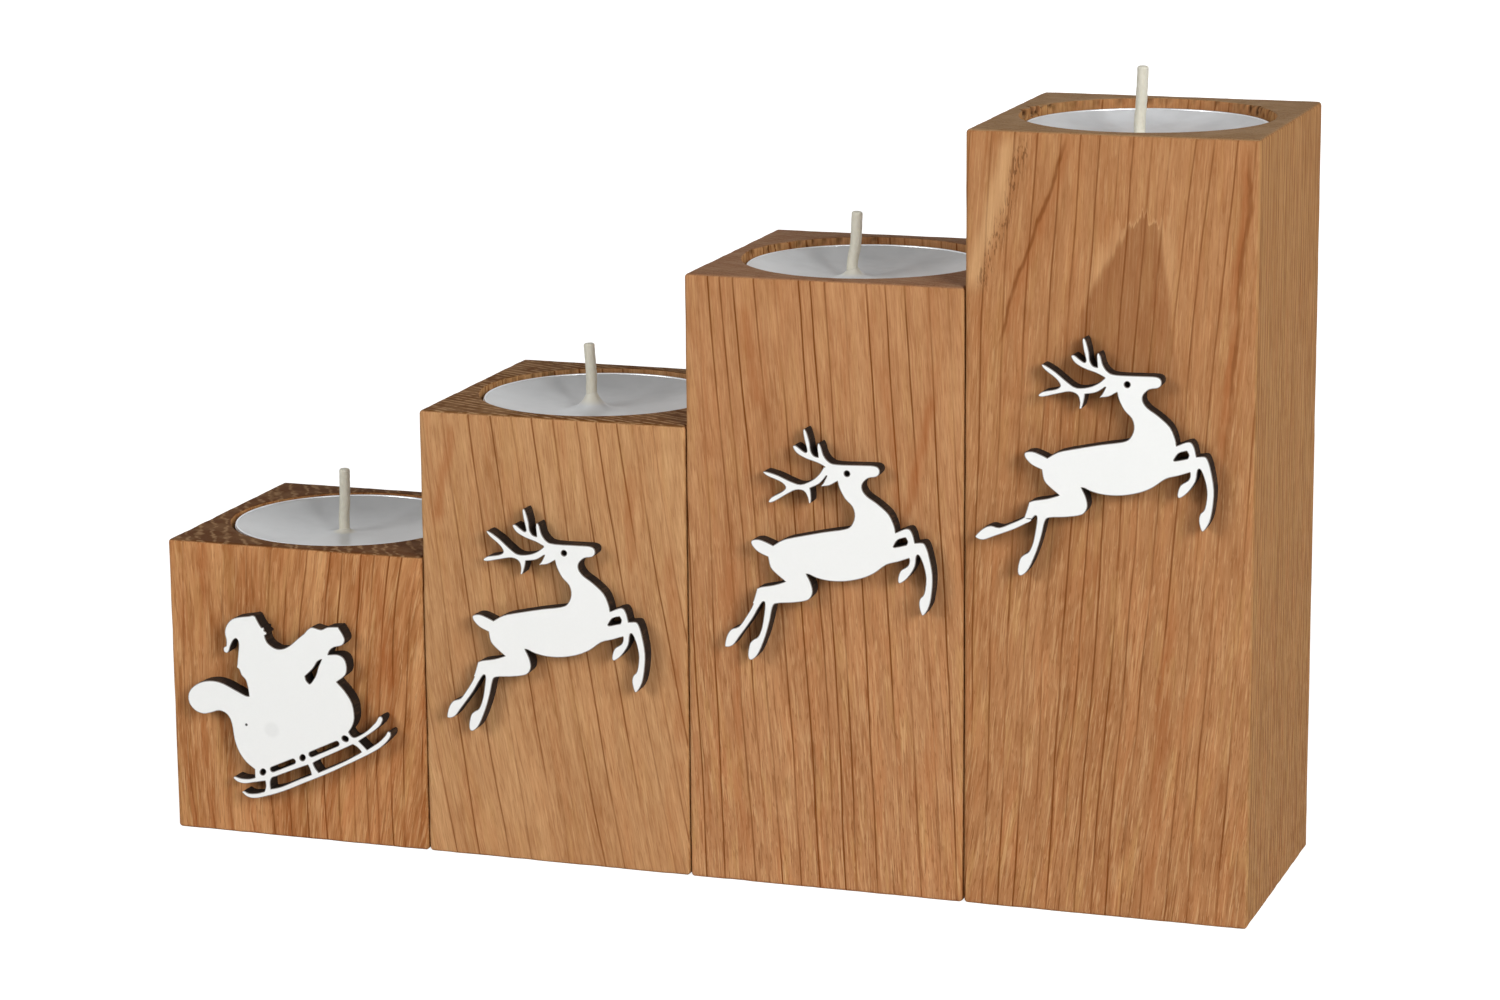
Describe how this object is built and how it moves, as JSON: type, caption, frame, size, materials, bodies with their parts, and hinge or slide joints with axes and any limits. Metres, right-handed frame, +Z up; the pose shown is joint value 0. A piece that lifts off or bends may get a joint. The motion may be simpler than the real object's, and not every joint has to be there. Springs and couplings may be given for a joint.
{
  "type": "advent candle holder",
  "caption": "Row of loose square oak blocks in rising steps, each with a tealight in a drilled well and a flat cut-out winter figure glued to its front.",
  "frame": {"origin": "middle of the row's footprint, on the surface that it stands on", "axes": "+X along the row from the lowest block to the tallest, +Y from the figures to the back, +Z up"},
  "size_m": [0.1838, 0.0488, 0.1315],
  "materials": {
    "oak": "solid oak, sawn and sanded, thin oil",
    "cup": "deep-drawn aluminium foil cup with rolled rim",
    "wax": "poured white paraffin wax",
    "wick": "waxed braided cotton",
    "tin": "tin-plated steel, pressed",
    "board": "fibreboard with dark laser-cut edges",
    "lacquer": "white satin lacquer skin"
  },
  "bodies": {
    "block_4": {"block_4": "oak", "reindeer_core_3": "board", "reindeer_face_3": "lacquer"},
    "block_3": {"block_3": "oak", "reindeer_core_2": "board", "reindeer_face_2": "lacquer"},
    "block_2": {"block_2": "oak", "reindeer_core_1": "board", "reindeer_face_1": "lacquer"},
    "block_1": {"block_1": "oak", "sleigh_core": "board", "sleigh_face": "lacquer"},
    "tealight_1": {"tealight_cup_1": "cup", "tealight_wax_1": "wax", "tealight_wick_1": "wick", "wick_sustainer_1": "tin"},
    "tealight_2": {"tealight_cup_2": "cup", "tealight_wax_2": "wax", "tealight_wick_2": "wick", "wick_sustainer_2": "tin"},
    "tealight_3": {"tealight_cup_3": "cup", "tealight_wax_3": "wax", "tealight_wick_3": "wick", "wick_sustainer_3": "tin"},
    "tealight_4": {"tealight_cup_4": "cup", "tealight_wax_4": "wax", "tealight_wick_4": "wick", "wick_sustainer_4": "tin"}
  },
  "joints": [
    {"name": "block_3_apart", "type": "slide", "parent": "block_4", "child": "block_3", "axis": [-1, 0, 0], "range_m": [0, 0.05]},
    {"name": "block_2_apart", "type": "slide", "parent": "block_3", "child": "block_2", "axis": [-1, 0, 0], "range_m": [0, 0.05]},
    {"name": "block_1_apart", "type": "slide", "parent": "block_2", "child": "block_1", "axis": [-1, 0, 0], "range_m": [0, 0.05]},
    {"name": "tealight_1_lift", "type": "slide", "parent": "block_1", "child": "tealight_1", "axis": [0, 0, 1], "range_m": [0, 0.03]},
    {"name": "tealight_2_lift", "type": "slide", "parent": "block_2", "child": "tealight_2", "axis": [0, 0, 1], "range_m": [0, 0.03]},
    {"name": "tealight_3_lift", "type": "slide", "parent": "block_3", "child": "tealight_3", "axis": [0, 0, 1], "range_m": [0, 0.03]},
    {"name": "tealight_4_lift", "type": "slide", "parent": "block_4", "child": "tealight_4", "axis": [0, 0, 1], "range_m": [0, 0.03]}
  ]
}
